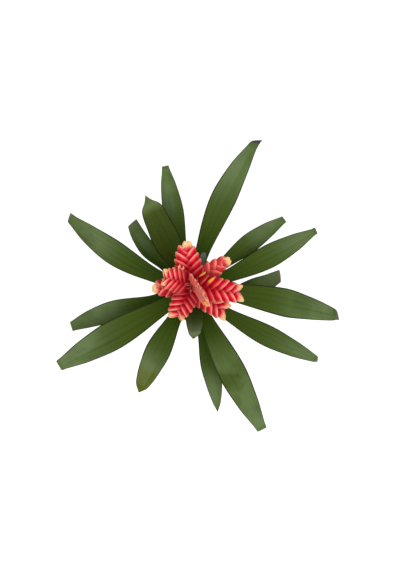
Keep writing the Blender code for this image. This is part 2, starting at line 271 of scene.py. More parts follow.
# headings at the base, half way and tip; reach and width in mm; slope before the end folds down;
# the fold in degrees; end is the share of the width left at the fold, neck the share of that past
# it, waist the share low down, belly where the blade is widest, hook the tip's way aside in mm
leaves = [
    {"turn": (-7, -1, 10), "reach": 165, "width": 33, "slope": -14, "fold": 70, "end": 0.74,
     "waist": 0.42, "look": {"tip": (0.12, 0.14, 0.055), "tipFrom": 0.84, "tipTo": 0.93,
                             "bloomAndSheenFrom": 0.5}},
    {"turn": (142, 139.5, 130.5), "reach": 163, "width": 30, "slope": -13, "fold": 75, "end": 0.74,
     "look": {"tip": (0.125, 0.145, 0.06), "tipFrom": 0.84, "tipTo": 0.92, "bloomAndSheenShare": 0.35}},
    {"turn": (-76, -75.5, -78), "reach": 226, "width": 36, "slope": -12, "fold": 25, "end": 0.42,
     "neck": 0.55, "look": {"tip": (0.03, 0.035, 0.012), "tipFrom": 0.95, "tipTo": 0.99}},
    {"turn": (-159, -164, -162), "reach": 226, "width": 38, "slope": -12, "fold": 76, "end": 0.5,
     "look": {"bloomAndSheenFrom": 0.48}},
    {"turn": (105, 103.5, 101.8), "reach": 225, "width": 37, "slope": -11, "fold": 78, "end": 0.38,
     "look": {"bloomAndSheenShare": 0.8}},
    {"turn": (37, 38.5, 36.6), "reach": 208, "width": 35, "slope": -10, "fold": 80, "end": 0.42},
    {"turn": (-121, -119, -117), "reach": 208, "width": 46, "slope": -9, "fold": 30, "end": 0.56,
     "neck": 0.6, "look": {"tip": (0.085, 0.115, 0.004), "tipFrom": 0.76, "tipTo": 0.84}},
    {"turn": (-40, -33, -29), "reach": 257, "width": 38, "slope": -9, "fold": 66, "end": 0.4,
     "neck": 0.55, "hook": -8, "look": {"bloomAndSheenShare": 0.5, "bloomAndSheenFrom": 0.63, "dryFrom": 0.94}},
    {"turn": (15, 21.5, 25.5), "reach": 243, "width": 42, "slope": -8, "fold": 80, "end": 0.32,
     "look": {"bloomAndSheenShare": 0.55, "bloomAndSheenFrom": 0.62}},
    {"turn": (165, 157, 148.6), "reach": 251, "width": 44, "slope": -7, "fold": 66, "end": 0.42,
     "neck": 0.75, "hook": -5, "look": {"dryFrom": 0.945}},
    {"turn": (76, 72, 65.6), "reach": 286, "width": 45, "slope": -6, "fold": 50, "end": 0.4,
     "neck": 0.75, "hook": -8, "look": {"bloomAndSheenShare": 0.75, "dryFrom": 0.94}},
    {"turn": (-1, -6.5, -10.6), "reach": 263, "width": 50, "slope": -6, "fold": 58, "end": 0.48,
     "neck": 0.6, "hook": -8, "belly": 0.67, "look": {"dryFrom": 0.95}},
    {"turn": (-147, -149, -150), "reach": 264, "width": 52, "slope": -5, "fold": 82, "end": 0.42,
     "look": {"bloomAndSheenShare": 0.9}},
    {"turn": (-65, -64, -63), "reach": 270, "width": 49, "slope": -4, "fold": 84, "end": 0.4,
     "waist": 0.52, "look": {"bloomAndSheenFrom": 0.38}},
    # painted shade: leaf 15 has a darker, browner skin with little sheen
    {"turn": (118, 117, 116), "reach": 179, "width": 50, "slope": 22, "fold": 40, "end": 0.7,
     "neck": 0.4, "look": {"inner": (0.036, 0.059, 0.004), "outer": (0.042, 0.068, 0.006),
                           "dark": (0.036, 0.045, 0.003), "bloomAndSheenShare": 0.05, "gloss": 0.08,
                           "tip": (0.105, 0.15, 0.045),
                           "tipFrom": 0.86, "tipTo": 0.93, "dry": (0.2, 0.25, 0.12)}},
    # leaf 16: the lighter grey end is partly its own grey tip, partly a painted highlight band
    {"turn": (-78, -81, -86), "reach": 87, "width": 37, "slope": 52, "fold": 70, "end": 0.68,
     "hook": -4, "look": {"inner": (0.034, 0.044, 0.003), "outer": (0.040, 0.054, 0.005),
                          "bloomAndSheenShare": 0.1, "gloss": 0.08, "tip": (0.12, 0.15, 0.07),
                          "tipFrom": 0.74, "tipTo": 0.94}},
    # painted sheen: leaf 17's light bluish-grey outer blade and tip
    {"turn": (70, 70, 70), "reach": 71, "width": 26, "slope": 62, "fold": 60, "end": 0.5,
     "look": {"outer": (0.09, 0.13, 0.07), "bloomAndSheenShare": 0.8, "tip": (0.13, 0.17, 0.11),
              "tipFrom": 0.7, "tipTo": 0.95}},
]
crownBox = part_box("crown")
crownTop = crownBox[1][2]
crownRadius = crownBox[1][0]
crownTopRadius = 6.4 * mm
crownConeHeight = 16 * mm
outermostRadius = leafSizes["innermostRadius"] + leafSizes["sheathStep"] * (len(leaves) - 1)


def crownHeight(radius):
    share = (crownRadius - radius) / (crownRadius - crownTopRadius)
    return crownTop - crownConeHeight + crownConeHeight * min(share, 1)


def leafProfile(rank, spec):  # radius, height and slope from the base to the tip
    latest, soonest = leafSizes["bendPower"]
    power = latest + (soonest - latest) * rank / (len(leaves) - 1)
    startRadius = outermostRadius - leafSizes["sheathStep"] * rank
    steps = leafSizes["profileSteps"]
    slopes = []
    for step in range(steps + 1):
        along = step / steps
        slope = leafSizes["startSlope"] + (spec["slope"] - leafSizes["startSlope"]) * along ** power
        slope -= spec["fold"] * easeStep(leafSizes["foldStart"], leafSizes["foldEnd"], along)
        slopes.append(math.radians(slope))
    outs, ups = [0], [0]
    for before, after in zip(slopes, slopes[1:]):
        outs.append(outs[-1] + (math.cos(before) + math.cos(after)) / 2)
        ups.append(ups[-1] + (math.sin(before) + math.sin(after)) / 2)
    scale = (spec["reach"] * mm - startRadius) / max(outs)
    base = crownHeight(startRadius - leafSizes["thickness"]) + gap
    return [(startRadius + scale * out, base + scale * up, slope)
            for out, up, slope in zip(outs, ups, slopes)]


def leafWidths(spec, sheath):
    size = {**leafSizes, **spec}
    blade = spec["width"] * mm
    end = spec["end"] * blade
    sheathEnd, sheathShare = size["sheathEnd"]
    shoulder, bladeShare, endShare = size["shoulder"]
    return ((0, sheath), (sheathEnd, sheathShare * sheath), (size["waistAt"], size["waist"] * blade),
            (size["belly"], blade), (shoulder, bladeShare * blade + endShare * end),
            (size["foldStart"], end), (size["foldEnd"], end * size["neck"]), (1, size["tip"] * blade))


def buildLeaf(rank, spec):
    profile = leafProfile(rank, spec)
    chance = random.Random(100 + rank)
    wrap = math.radians(leafSizes["sheathWrap"][rank >= leafSizes["outerCount"]])
    widths = leafWidths(spec, 2 * profile[0][0] * wrap)
    waveStart, edgeStart = chance.uniform(0, 6), chance.uniform(0, 6)
    waveHeight = chance.uniform(*leafSizes["wave"]) * mm
    waveAlong, waveAcross = leafSizes["waveTurns"]
    creaseAt = chance.uniform(-0.4, 0.4)
    creaseDepth = chance.uniform(*leafSizes["creaseDepth"]) * mm
    work = bmesh.new()
    mapLayer = work.loops.layers.uv.new("leafMap")
    bmesh.ops.create_grid(work, x_segments=leafSizes["acrossSteps"],
                          y_segments=leafSizes["alongSteps"], size=1)
    weights = []
    flat = {}
    for vert in work.verts:
        across, even = vert.co.x, (vert.co.y + 1) / 2
        along = even * (1 + leafSizes["crowding"] * (1 - even))  # the rows crowd towards the tip
        flat[vert] = ((across + 1) / 2, along)
        place = along * leafSizes["profileSteps"]
        index = min(int(place), leafSizes["profileSteps"] - 1)
        radius, height, slope = (a + (b - a) * (place - index)
                                 for a, b in zip(profile[index], profile[index + 1]))
        width = easeThrough(widths, along)
        opened = easeStep(0.2, 0.6, along) * (1 - easeStep(0.8, 1, along))
        lift = leafSizes["thickness"] / 2 + leafSizes["channel"] * opened * across * across
        phase = waveAlong * along + waveStart + waveAcross * across + edgeStart
        lift += waveHeight * opened * across ** 2 * math.sin(phase)
        lift -= creaseDepth * opened * math.exp(-((across - creaseAt) / leafSizes["creaseWidth"]) ** 2)
        first, half, last = spec["turn"]
        heading = (first * (1 - along) * (1 - 2 * along) + 4 * half * along * (1 - along)
                   + last * along * (2 * along - 1))
        hooked = easeStep(leafSizes["foldStart"], leafSizes["hookEnd"], along) ** 2
        hook = spec.get("hook", 0) * mm * hooked
        turn = math.radians(heading) + (across * width / 2 + hook) / radius
        out = radius - lift * math.sin(slope)
        vert.co = (out * math.cos(turn), out * math.sin(turn), height + lift * math.cos(slope))
        weights.append((vert.index, 1 - across ** 4))
    mapFaces(work.faces, mapLayer, flat)
    bmesh.ops.recalc_face_normals(work, faces=work.faces)
    number = f"{rank + 1:02d}"
    material = leafMaterial("leafSkin" + number, spec.get("look", {}))
    finishPiece("leafBlade" + number, meshFrom("leafBlade" + number, work), material,
                ["leaf_" + number], leafSizes["thickness"], weights)


for leafRank, leafSpec in enumerate(leaves):
    buildLeaf(leafRank, leafSpec)
print("leaves:", len(leaves))


def addTube(work, points, radii, sides):  # a closed round rod along the points
    ring = bmesh.ops.create_circle(work, segments=sides, radius=radii[0])["verts"]
    facing = Vector((0, 0, 1)).rotation_difference(points[1] - points[0]).to_matrix()
    bmesh.ops.rotate(work, verts=ring, matrix=facing)
    bmesh.ops.translate(work, verts=ring, vec=points[0])
    firstEdges = list(dict.fromkeys(edge for vert in ring for edge in vert.link_edges))
    edges = firstEdges
    for index in range(1, len(points)):
        grown = bmesh.ops.extrude_edge_only(work, edges=edges)["geom"]
        verts = [item for item in grown if isinstance(item, bmesh.types.BMVert)]
        edges = [item for item in grown if isinstance(item, bmesh.types.BMEdge)
                 and all(vert in verts for vert in item.verts)]
        for vert in verts:
            narrowing = radii[index] / radii[index - 1]
            vert.co = points[index] + (vert.co - points[index - 1]) * narrowing
    bmesh.ops.holes_fill(work, edges=firstEdges + edges)


bractLook = {
    "mottle": 240.0,
    "ribs": (34.0, 1.4, 1.0),
    "gloss": 0.11,
    "waxDepth": 0.002,
    # deep crimson, also the colour of the painted shade at keels, roots and spike bases
    "deep": (0.34, 0.0, 0.010),
    "crimson": (0.66, 0.0, 0.020),
    "coral": (0.96, 0.068, 0.070),
    # pale bract margin: partly the bracts' own pale rim, partly painted highlight on the thin edges
    "marginAndHighlight": (1.0, 0.42, 0.33),
    "peach": (1.0, 0.40, 0.25),
    "cream": (1.0, 0.66, 0.30),
    "pale": (1.0, 0.33, 0.23),
}


def bractMaterial(name, look):
    n = Nodes(name)
    place, across, along = n.uv("bractMap")
    age, pale = n.uv("ageMap")[1:]
    reach = n.sideways(across)
    mottle = n.noise(n.place(), look["mottle"], 3.0)
    ribs = n.noise(place, 1.0, 2.0, look["ribs"])
    outward = n.math("ADD", along, n.math("MULTIPLY", n.math("SUBTRACT", mottle, 0.5), 0.25))
    flank = n.math("ADD", reach, n.math("MULTIPLY", n.math("SUBTRACT", ribs, 0.5), 0.2))
    # painted shade: deep crimson along each keel, where the next bract's margin shades it; partly the
    # bract's own deeper red
    colour = n.mix(n.ramp(flank, 0.1, 0.5), look["deep"], look["crimson"])
    flush = n.math("MULTIPLY", n.ramp(flank, 0.45, 0.85), n.ramp(outward, 0.25, 0.8))
    colour = n.mix(flush, colour, look["coral"])
    ribShare = n.math("MULTIPLY", n.ramp(ribs, 0.5, 0.72), n.ramp(outward, 0.3, 0.8))
    colour = n.share(0.3, ribShare, colour, look["coral"])
    # darker towards each bract's root: partly its own deeper red, partly painted shade between overlapping
    # bracts
    colour = n.share(0.85, n.ramp(outward, 0.5, 0.1), colour, look["deep"])
    shaded = n.math("MULTIPLY", n.ramp(age, 0.5, -0.05), n.math("SUBTRACT", 1.0, pale))
    colour = n.share(0.75, shaded, colour, look["deep"])
    # pale margins: partly the bracts' own pale rim, partly painted highlight where the thin edges glow
    paleEdgeAndHighlight = n.math("MULTIPLY", n.ramp(reach, 0.62, 0.94), n.math("ADD", 0.1, n.ramp(outward, 0.2, 0.75)))
    # painted shade: pale edges dimmer towards each spike's base, where the head's centre is shaded
    edgeShadeByAge = n.math("ADD", 0.3, n.math("MULTIPLY", n.ramp(age, 0.1, 0.75), 0.7))
    paleEdgeAndHighlight = n.math("MULTIPLY", paleEdgeAndHighlight, edgeShadeByAge)
    colour = n.share(0.8, paleEdgeAndHighlight, colour, look["marginAndHighlight"])
    ripe = n.ramp(age, 0.86, 1.05)
    tipColour = n.mix(ripe, look["peach"], look["cream"])
    tipReach = n.math("ADD", outward, n.math("MULTIPLY", ripe, 0.28))
    tipRipe = n.math("ADD", 0.55, n.math("MULTIPLY", ripe, 0.4))
    # painted shade: fewer pale tips towards each spike's base
    tipShadeByAge = n.math("ADD", 0.25, n.math("MULTIPLY", n.ramp(age, 0.02, 0.35), 0.75))
    tipShare = n.math("MULTIPLY", n.math("MULTIPLY", n.ramp(tipReach, 0.74, 1.08), tipRipe), tipShadeByAge)
    colour = n.mix(tipShare, colour, tipColour)
    colour = n.share(0.72, pale, colour, look["pale"])
    colour = n.share(0.7, n.math("MULTIPLY", pale, n.ramp(ribs, 0.5, 0.36)), colour, look["crimson"])
    n.colour(colour)
    n.roughness(n.math("ADD", 0.33, n.math("MULTIPLY", mottle, 0.16)))
    n.shader.inputs["Specular IOR Level"].default_value = look["gloss"]
    n.shader.inputs["Subsurface Weight"].default_value = 0.1
    n.shader.inputs["Subsurface Radius"].default_value = (1.0, 0.25, 0.2)
    n.shader.inputs["Subsurface Scale"].default_value = look["waxDepth"]
    n.bump(ribs, 0.4, 0.0006)
    return n.material


spikeSizes = {
    "stipeRadius": 2.0 * mm,
    "tipRadius": 1.0 * mm,
    "stipeLength": 8 * mm,
    "bractPitch": 7 * mm,
    "bractLength": 33 * mm,
    "bractWidth": 13.5 * mm,
    "bractHalfThickness": 3.2 * mm,
    "spread": 44,
    "topSpread": 20,
    "openSpread": 30,
    "spreadJitter": 2,
    "shortening": 0.16,
    "lengthJitter": (0.96, 1.02),
    "lastTaper": 0.72,
    "terminalLength": 23 * mm,
    "terminalSink": 3 * mm,
    "rootInset": 1.5 * mm,
    "wall": 0.5 * mm,
    "topRoll": -23,
    "topDeep": 1.0,
    "mouth": 0.72,  # how far a bract's edges stay apart
    "topMouth": 0.2,
    "baseBracts": 1,
    "rodSteps": 8,
    "rodSides": 12,
    "wispFrom": 0.72,
    "wispLength": 13 * mm,
    "wispWidth": 3.4 * mm,
    "wispHalfThickness": 0.7 * mm,
}
# how far below the stalk's top it grows, its heading, its elevation, its bracts and their size
spikes = {
    "spike_west_lower": (92 * mm, 181, 44, 8, 0.95),
    "spike_southeast": (80 * mm, -37, 37, 9, 1.08),
    "spike_northeast": (70 * mm, 37, 33, 9, 0.85),
    "spike_southwest": (52 * mm, -117, 51, 9, 1.02),
    "spike_north": (40 * mm, 99, 45, 9, 1.12),
    "spike_east": (30 * mm, -10, 37, 11, 1.02),
    "spike_west_upper": (16 * mm, 164, 61, 9, 1.0),
    "spike_top": (0, -45, 71, 11, 1.2),
}
openEnded = ("spike_east", "spike_southeast", "spike_southwest", "spike_west_upper")  # end in two bracts
paleShare = {"spike_northeast": 0.15, "spike_top": 0.88}
wisps = {  # dry petal tips: the spike and its bract, and how far each leans off it
    ("spike_west_upper", 0): (-8, 14),
    ("spike_west_upper", 2): (4, 22),
    ("spike_top", 1): (-6, 8, 20),
}
scapeSizes = {
    "baseRadius": 5.0 * mm,
    "topRadius": 3.4 * mm,
    "leanX": 2 * mm,
    "leanY": 9 * mm,
    "rings": 60,
    "sides": 28,
}
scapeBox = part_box("scape")
scapeBottom, scapeTop = scapeBox[0][2], scapeBox[1][2]


def scapePoint(height):
    share = (height - scapeBottom) / (scapeTop - scapeBottom)
    return Vector((scapeSizes["leanX"] * share ** 2, scapeSizes["leanY"] * share ** 2, height))


def scapeRadius(height):
    share = (height - scapeBottom) / (scapeTop - scapeBottom)
    return scapeSizes["baseRadius"] + (scapeSizes["topRadius"] - scapeSizes["baseRadius"]) * share


def spikePlace(name):
    below, heading, elevation = spikes[name][:3]
    turn, rise = math.radians(heading), math.radians(elevation)
    along = Vector((math.cos(rise) * math.cos(turn), math.cos(rise) * math.sin(turn), math.sin(rise)))
    level = Vector((math.sin(turn), -math.cos(turn), 0))
    if name == "spike_top":
        across = along.cross(level)
        base = scapePoint(scapeTop)
        base.z += gap + spikeSizes["stipeRadius"] * math.cos(rise)
        roll = Matrix.Rotation(math.radians(spikeSizes["topRoll"]), 4, "Y")
    else:
        across = level
        height = scapeTop - below
        clear = scapeRadius(height) + gap + spikeSizes["stipeRadius"] * math.sin(rise)
        base = scapePoint(height) + along * (clear / math.cos(rise))
        roll = Matrix.Identity(4)
    facing = Matrix((across, along, across.cross(along))).transposed().to_4x4()
    return Matrix.Translation(base) @ facing @ roll


bractShape = {
    "wide": ((0, 0.72), (0.25, 0.98), (0.55, 1), (0.8, 0.72), (0.94, 0.34), (1, 0.05)),
    "deep": ((0, 0.55), (0.25, 0.95), (0.5, 1), (0.75, 0.84), (0.92, 0.5), (1, 0.12)),
    "acrossSteps": 14,
    "alongSteps": 16,
    "sweep": 0.16,
    "sweepTurn": 0.75,
    "keelPower": 1.2,
    "bulgePower": 0.45,
    "mouthPower": 4,
}


def addBract(work, maps, root, spreadDegrees, hand, size, age, pale=0, mouth=0.7, taper=1.0):
    bractMap, ageMap = maps
    shape = bractShape
    length, width, thick = size
    spread = math.radians(spreadDegrees)
    out = Vector((hand * math.sin(spread), math.cos(spread), 0))
    distal = Vector((-hand * math.cos(spread), math.sin(spread), 0))
    made = bmesh.ops.create_grid(work, x_segments=shape["acrossSteps"], y_segments=shape["alongSteps"],
                                 size=1)["verts"]
    flat = {}
    for vert in made:
        side, along = vert.co.x, (vert.co.y + 1) / 2
        flat[vert] = ((side + 1) / 2, along)
        reach = abs(side)
        wide = width * easeThrough(shape["wide"], along ** taper)
        deep = thick * easeThrough(shape["deep"], along)
        sweep = length * shape["sweep"] * (along * along - along * shape["sweepTurn"])
        place = root + out * (length * along)
        place += distal * (wide * (reach ** shape["keelPower"] - 0.5) + sweep)
        bulge = reach ** shape["bulgePower"] * (1 - (1 - mouth) * reach ** shape["mouthPower"])
        place.z += math.copysign(deep * bulge, side) if reach > 1e-6 else 0
        vert.co = place
    faces = {face for vert in made for face in vert.link_faces}
    mapFaces(faces, bractMap, flat)
    mapFaces(faces, ageMap, {vert: (age, pale) for vert in made})
    return made


def buildSpike(name, material):
    count, scale = spikes[name][3:]
    chance = random.Random(name)
    work = bmesh.new()
    maps = (work.loops.layers.uv.new("bractMap"), work.loops.layers.uv.new("ageMap"))
    size = spikeSizes
    edgeOn = name == "spike_top"
    pale = paleShare.get(name, 0)
    mouth = size["topMouth"] if edgeOn else size["mouth"]
    deep = size["bractHalfThickness"] * (size["topDeep"] if edgeOn else 1)
    topSpread = size["openSpread"] if name in openEnded else size["topSpread"]
    axisEnd = size["stipeLength"] + size["bractPitch"] * count
    for index in range(-size["baseBracts"], count):
        share = max(index, 0) / (count - 1)
        hand = 1 if index % 2 == 0 else -1
        spread = size["spread"] + (topSpread - size["spread"]) * share ** 1.8
        root = Vector((-hand * size["rootInset"], size["stipeLength"] + size["bractPitch"] * index, 0))
        length = size["bractLength"] * scale * (1 - size["shortening"] * share ** 2)
        length *= chance.uniform(*size["lengthJitter"])
        bractSize = (length, size["bractWidth"], deep)
        last = name in openEnded and index >= count - 2
        spread += chance.uniform(-size["spreadJitter"], size["spreadJitter"])
        age, taper = (max(share, 0.98), size["lastTaper"]) if last else (share, 1)
        addBract(work, maps, root, spread, hand, bractSize, age, pale, mouth, taper)
        for lean in wisps.get((name, index), ()):
            reach = math.radians(spread)
            onward = Vector((hand * math.sin(reach), math.cos(reach), 0))
            start = root + onward * size["wispFrom"] * length
            wispSize = (size["wispLength"], size["wispWidth"], size["wispHalfThickness"])
            addBract(work, maps, start, spread + lean, hand, wispSize, 1.05, 0.7, 0.1, 0.7)
    if name not in openEnded:
        bractSize = (size["terminalLength"] * scale, size["bractWidth"], deep)
        root = Vector((0, axisEnd - size["terminalSink"], 0))
        addBract(work, maps, root, 4, 1, bractSize, 1.1, pale, mouth, 0.8)
    steps = [step / size["rodSteps"] for step in range(size["rodSteps"] + 1)]
    thinning = size["tipRadius"] - size["stipeRadius"]
    addTube(work, [Vector((0, axisEnd * step, 0)) for step in steps],
            [size["stipeRadius"] + thinning * step for step in steps], size["rodSides"])
    bmesh.ops.transform(work, matrix=spikePlace(name), verts=work.verts)
    camelName = "".join(part.capitalize() for part in name.split("_"))
    finishPiece("bracts" + camelName[5:], meshFrom(name, work), material, [name], size["wall"])


collar = {  # small bracts that close the stalk in between the spikes
    "count": 20,
    "lowest": 104 * mm,
    "turnStep": 137.5,
    "spread": 30,
    "length": 21 * mm,
    "width": 12 * mm,
    "halfThickness": 3.4 * mm,
    "rootOut": 2 * mm,
    # a low age also gives these bracts the painted shade of the head's centre
    "age": 0.1,
    "mouth": 0.4,
}


def buildCollar(material):
    work = bmesh.new()
    maps = (work.loops.layers.uv.new("bractMap"), work.loops.layers.uv.new("ageMap"))
    size = (collar["length"], collar["width"], collar["halfThickness"])
    for index in range(collar["count"]):
        height = scapeTop - collar["lowest"] * (1 - index / (collar["count"] - 1))
        made = addBract(work, maps, Vector((collar["rootOut"], 0, 0)), collar["spread"], 1, size,
                        collar["age"], 0, collar["mouth"])
        upright = Matrix.Rotation(math.radians(90), 4, "X")
        turn = Matrix.Rotation(math.radians(collar["turnStep"] * index), 4, "Z")
        place = Matrix.Translation(scapePoint(height)) @ turn @ upright
        bmesh.ops.transform(work, matrix=place, verts=made)
    finishPiece("stalkBracts", meshFrom("stalkBracts", work), material, (), spikeSizes["wall"])


bractSkin = bractMaterial("waxyBract", bractLook)
for spikeName in spikes:
    buildSpike(spikeName, bractSkin)
buildCollar(bractSkin)
print("spikes:", len(spikes))


budLook = {
    "base": (0.62, 0.1, 0.02),
    "petal": (0.95, 0.46, 0.03),
    "tip": (0.98, 0.62, 0.12),
    "streaks": (40.0, 2.0, 1.0),
}


def budMaterial(look):
    n = Nodes("yellowPetal")
    place, along = n.uv("petalMap")[::2]
    streaks = n.noise(place, 1.0, 2.0, look["streaks"])
    colour = n.mix(n.ramp(along, 0.05, 0.45), look["base"], look["petal"])
    colour = n.mix(n.ramp(along, 0.75, 1.0), colour, look["tip"])
    colour = n.share(0.4, n.ramp(streaks, 0.5, 0.7), colour, look["base"])
    n.colour(colour)
    n.roughness(n.math("ADD", 0.35, n.math("MULTIPLY", streaks, 0.2)))
    n.bump(streaks, 0.4, 0.0004)
    return n.material


buds = {
    "length": 17 * mm,
    "radius": 2.3 * mm,
    "lift": 3.4 * mm,
    "lobes": 3,
    "twist": 1.1,
    "lobeDepth": 0.16,
    "lobeMiddle": 0.6,
    "sides": 30,
    "rings": 24,
    "outline": ((0, 0.45), (0.12, 0.8), (0.32, 1), (0.6, 0.9), (0.85, 0.5), (0.97, 0.2), (1, 0.04)),
}
# the spike it grows from, how far along, how far aside, and the turn off the spike
budPlaces = {
    "bud_top": ("spike_top", 92 * mm, 5 * mm, 10),
    "bud_north": ("spike_north", 11 * mm, 13.5 * mm, 50),
    "bud_east": ("spike_east", 27 * mm, -7.5 * mm, -42),
}


def buildBud(node, material):
    spikeName, onward, aside, turn = budPlaces[node]
    work = bmesh.new()
    petalMap = work.loops.layers.uv.new("petalMap")
    bmesh.ops.create_uvsphere(work, u_segments=buds["sides"], v_segments=buds["rings"], radius=1,
                              calc_uvs=False)
    flat = {}
    for vert in work.verts:
        along = (vert.co.z + 1) / 2
        around = math.atan2(vert.co.y, vert.co.x)
        atPole = math.hypot(vert.co.x, vert.co.y) < 1e-4
        ripple = abs(math.sin(buds["lobes"] / 2 * (around + buds["twist"] * along)))
        lobe = 1 + buds["lobeDepth"] * (ripple - buds["lobeMiddle"])
        radius = 0 if atPole else buds["radius"] * easeThrough(buds["outline"], along) * lobe
        vert.co = (radius * math.cos(around), buds["length"] * along, -radius * math.sin(around))
        flat[vert] = (around / math.tau + 0.5, along)
    mapFaces(work.faces, petalMap, flat)
    off = Matrix.Translation((aside, onward, buds["lift"])) @ Matrix.Rotation(-math.radians(turn), 4, "Z")
    bmesh.ops.transform(work, matrix=spikePlace(spikeName) @ off, verts=work.verts)
    bmesh.ops.recalc_face_normals(work, faces=work.faces)
    name = "petals" + node[4:].capitalize()
    finishPiece(name, meshFrom(name, work), material, [node])


petalSkin = budMaterial(budLook)
for budNode in budPlaces:
    buildBud(budNode, petalSkin)
print("buds:", len(budPlaces))


stalkLook = {
    "low": (0.12, 0.17, 0.03),
    "high": (0.42, 0.05, 0.03),
    "streak": (0.25, 0.22, 0.05),
    "streaks": (420.0, 420.0, 14.0),
    "redTo": 60 * mm,
}


def stalkMaterial(look):
    n = Nodes("stalkSkin")
    place = n.place()
    height = n.add("SeparateXYZ", Vector=place).outputs["Z"]
    streaks = n.noise(place, 1.0, 3.0, look["streaks"])
    colour = n.mix(n.ramp(height, scapeBottom, scapeTop - look["redTo"]), look["low"], look["high"])
    colour = n.share(0.5, n.ramp(streaks, 0.48, 0.66), colour, look["streak"])
    n.colour(colour)
    n.roughness(n.math("ADD", 0.4, n.math("MULTIPLY", streaks, 0.2)))
    n.bump(streaks, 0.5, 0.0006)
    return n.material


def buildScape():
    work = bmesh.new()
    rings = scapeSizes["rings"]
    heights = [scapeBottom + (scapeTop - scapeBottom) * step / rings for step in range(rings + 1)]
    addTube(work, [scapePoint(height) for height in heights],
            [scapeRadius(height) for height in heights], scapeSizes["sides"])
    bmesh.ops.recalc_face_normals(work, faces=work.faces)
    finishPiece("stalk", meshFrom("stalk", work), stalkMaterial(stalkLook), ["scape"])


buildScape()


scapeBracts = {
    "starts": ((42 * mm, 200), (76 * mm, 320), (110 * mm, 80), (142 * mm, 215)),
    "length": 46 * mm,
    "thickness": 0.9 * mm,
    "clearance": 0.6 * mm,
    "wrap": 82,
    "wrapPower": 1.6,
    "tipWrap": 0.05,
    "flare": 5 * mm,
    "acrossSteps": 20,
    "alongSteps": 26,
}
claspLook = {
    "base": (0.16, 0.2, 0.05),
    "blade": (0.42, 0.06, 0.03),
    "tip": (0.55, 0.16, 0.06),
    "streaks": (40.0, 1.6, 1.0),
}


def claspMaterial(look):
    n = Nodes("claspSkin")
    place, across, along = n.uv("claspMap")
    streaks = n.noise(place, 1.0, 2.0, look["streaks"])
    colour = n.mix(n.ramp(along, 0.05, 0.6), look["base"], look["blade"])
    colour = n.mix(n.ramp(along, 0.8, 1.0), colour, look["tip"])
    colour = n.share(0.45, n.ramp(streaks, 0.46, 0.66), colour, look["base"])
    colour = n.share(0.6, n.ramp(n.sideways(across), 0.88, 0.98), colour, look["tip"])
    n.colour(colour)
    n.roughness(n.math("ADD", 0.38, n.math("MULTIPLY", streaks, 0.2)))
    n.bump(streaks, 0.5, 0.0006)
    return n.material


def buildScapeBract(index, material):
    size = scapeBracts
    start, heading = size["starts"][index]
    bottom = scapeBottom + start
    work = bmesh.new()
    claspMap = work.loops.layers.uv.new("claspMap")
    bmesh.ops.create_grid(work, x_segments=size["acrossSteps"], y_segments=size["alongSteps"], size=1)
    flat = {}
    for vert in work.verts:
        across, along = vert.co.x, (vert.co.y + 1) / 2
        flat[vert] = ((across + 1) / 2, along)
        middle = scapePoint(bottom + size["length"] * along)
        radius = scapeRadius(bottom) + size["clearance"] + size["thickness"] / 2
        radius += size["flare"] * along ** 2
        wrap = math.radians(size["wrap"]) * (1 - (1 - size["tipWrap"]) * along ** size["wrapPower"])
        turn = math.radians(heading) + wrap * across
        vert.co = middle + radius * Vector((math.cos(turn), math.sin(turn), 0))
    mapFaces(work.faces, claspMap, flat)
    bmesh.ops.recalc_face_normals(work, faces=work.faces)
    name = f"stalkLeaf{index + 1}"
    finishPiece(name, meshFrom(name, work), material, [f"scape_bract_{index + 1}"],
                size["thickness"])


claspSkin = claspMaterial(claspLook)
for bractIndex in range(len(scapeBracts["starts"])):
    buildScapeBract(bractIndex, claspSkin)
print("stalk and its leaves:", 1 + len(scapeBracts["starts"]))


crownLook = {
    "low": (0.09, 0.055, 0.025),
    "high": (0.2, 0.23, 0.08),
    "blotch": (0.13, 0.08, 0.035),
    "ring": (0.07, 0.045, 0.02),
    "blotches": 90.0,
    "rings": (8.0, 8.0, 500.0),
    "brownTo": 30 * mm,  # below the crown's top
    "greenFrom": 8 * mm,
}


def crownMaterial(look):
    n = Nodes("crownSkin")
    place = n.place()
    height = n.add("SeparateXYZ", Vector=place).outputs["Z"]
    blotches = n.noise(place, look["blotches"], 4.0)
    rings = n.noise(place, 1.0, 2.0, look["rings"])
    green = n.ramp(height, crownTop - look["brownTo"], crownTop - look["greenFrom"])
    colour = n.mix(green, look["low"], look["high"])
    colour = n.share(0.6, n.ramp(blotches, 0.5, 0.68), colour, look["blotch"])
    colour = n.share(0.4, n.ramp(rings, 0.5, 0.65), colour, look["ring"])
    n.colour(colour)
    n.roughness(n.math("ADD", 0.6, n.math("MULTIPLY", blotches, 0.3)))
    n.bump(n.math("ADD", blotches, rings), 0.6, 0.001)
    return n.material


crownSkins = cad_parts["crown"].data.materials
crownSkins.clear()
crownSkins.append(crownMaterial(crownLook))


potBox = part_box("pot")
potLook = {
    "height": potBox[1][2],
    "rimRadius": potBox[1][0],
    "baseRadius": 44 * mm,
    "wall": 1.6 * mm,
    "floor": 2.2 * mm,
    "rimHeight": 9 * mm,
    "rimOverhang": 2.4 * mm,
    "footRadius": 1.5 * mm,
    "standStep": 0.8 * mm,  # how far the middle of the underside is raised
    "standRadii": (20 * mm, 22 * mm),
    "neckInset": 0.3 * mm,
    "neckDrop": 0.8 * mm,
    "ledge": 0.4 * mm,
    "rimSoft": 1.0 * mm,
    "rimWaist": 0.35 * mm,
    "waistFrom": 2.4 * mm,
    "waistTo": 2.6 * mm,
    "lipSoft": 0.7 * mm,
    "sharpAngle": 38,
    "sides": 128,
    "drainCount": 6,
    "drainRadius": 4 * mm,
    "drainCircle": 31 * mm,
    "drainSides": 32,
    "colour": (0.022, 0.023, 0.024),
    "worn": (0.055, 0.055, 0.055),
    "dust": (0.12, 0.1, 0.075),
    "dustTop": 22 * mm,
    "grain": 900.0,
    "clouds": 22.0,
    "scuffs": (60.0, 60.0, 160.0),
}


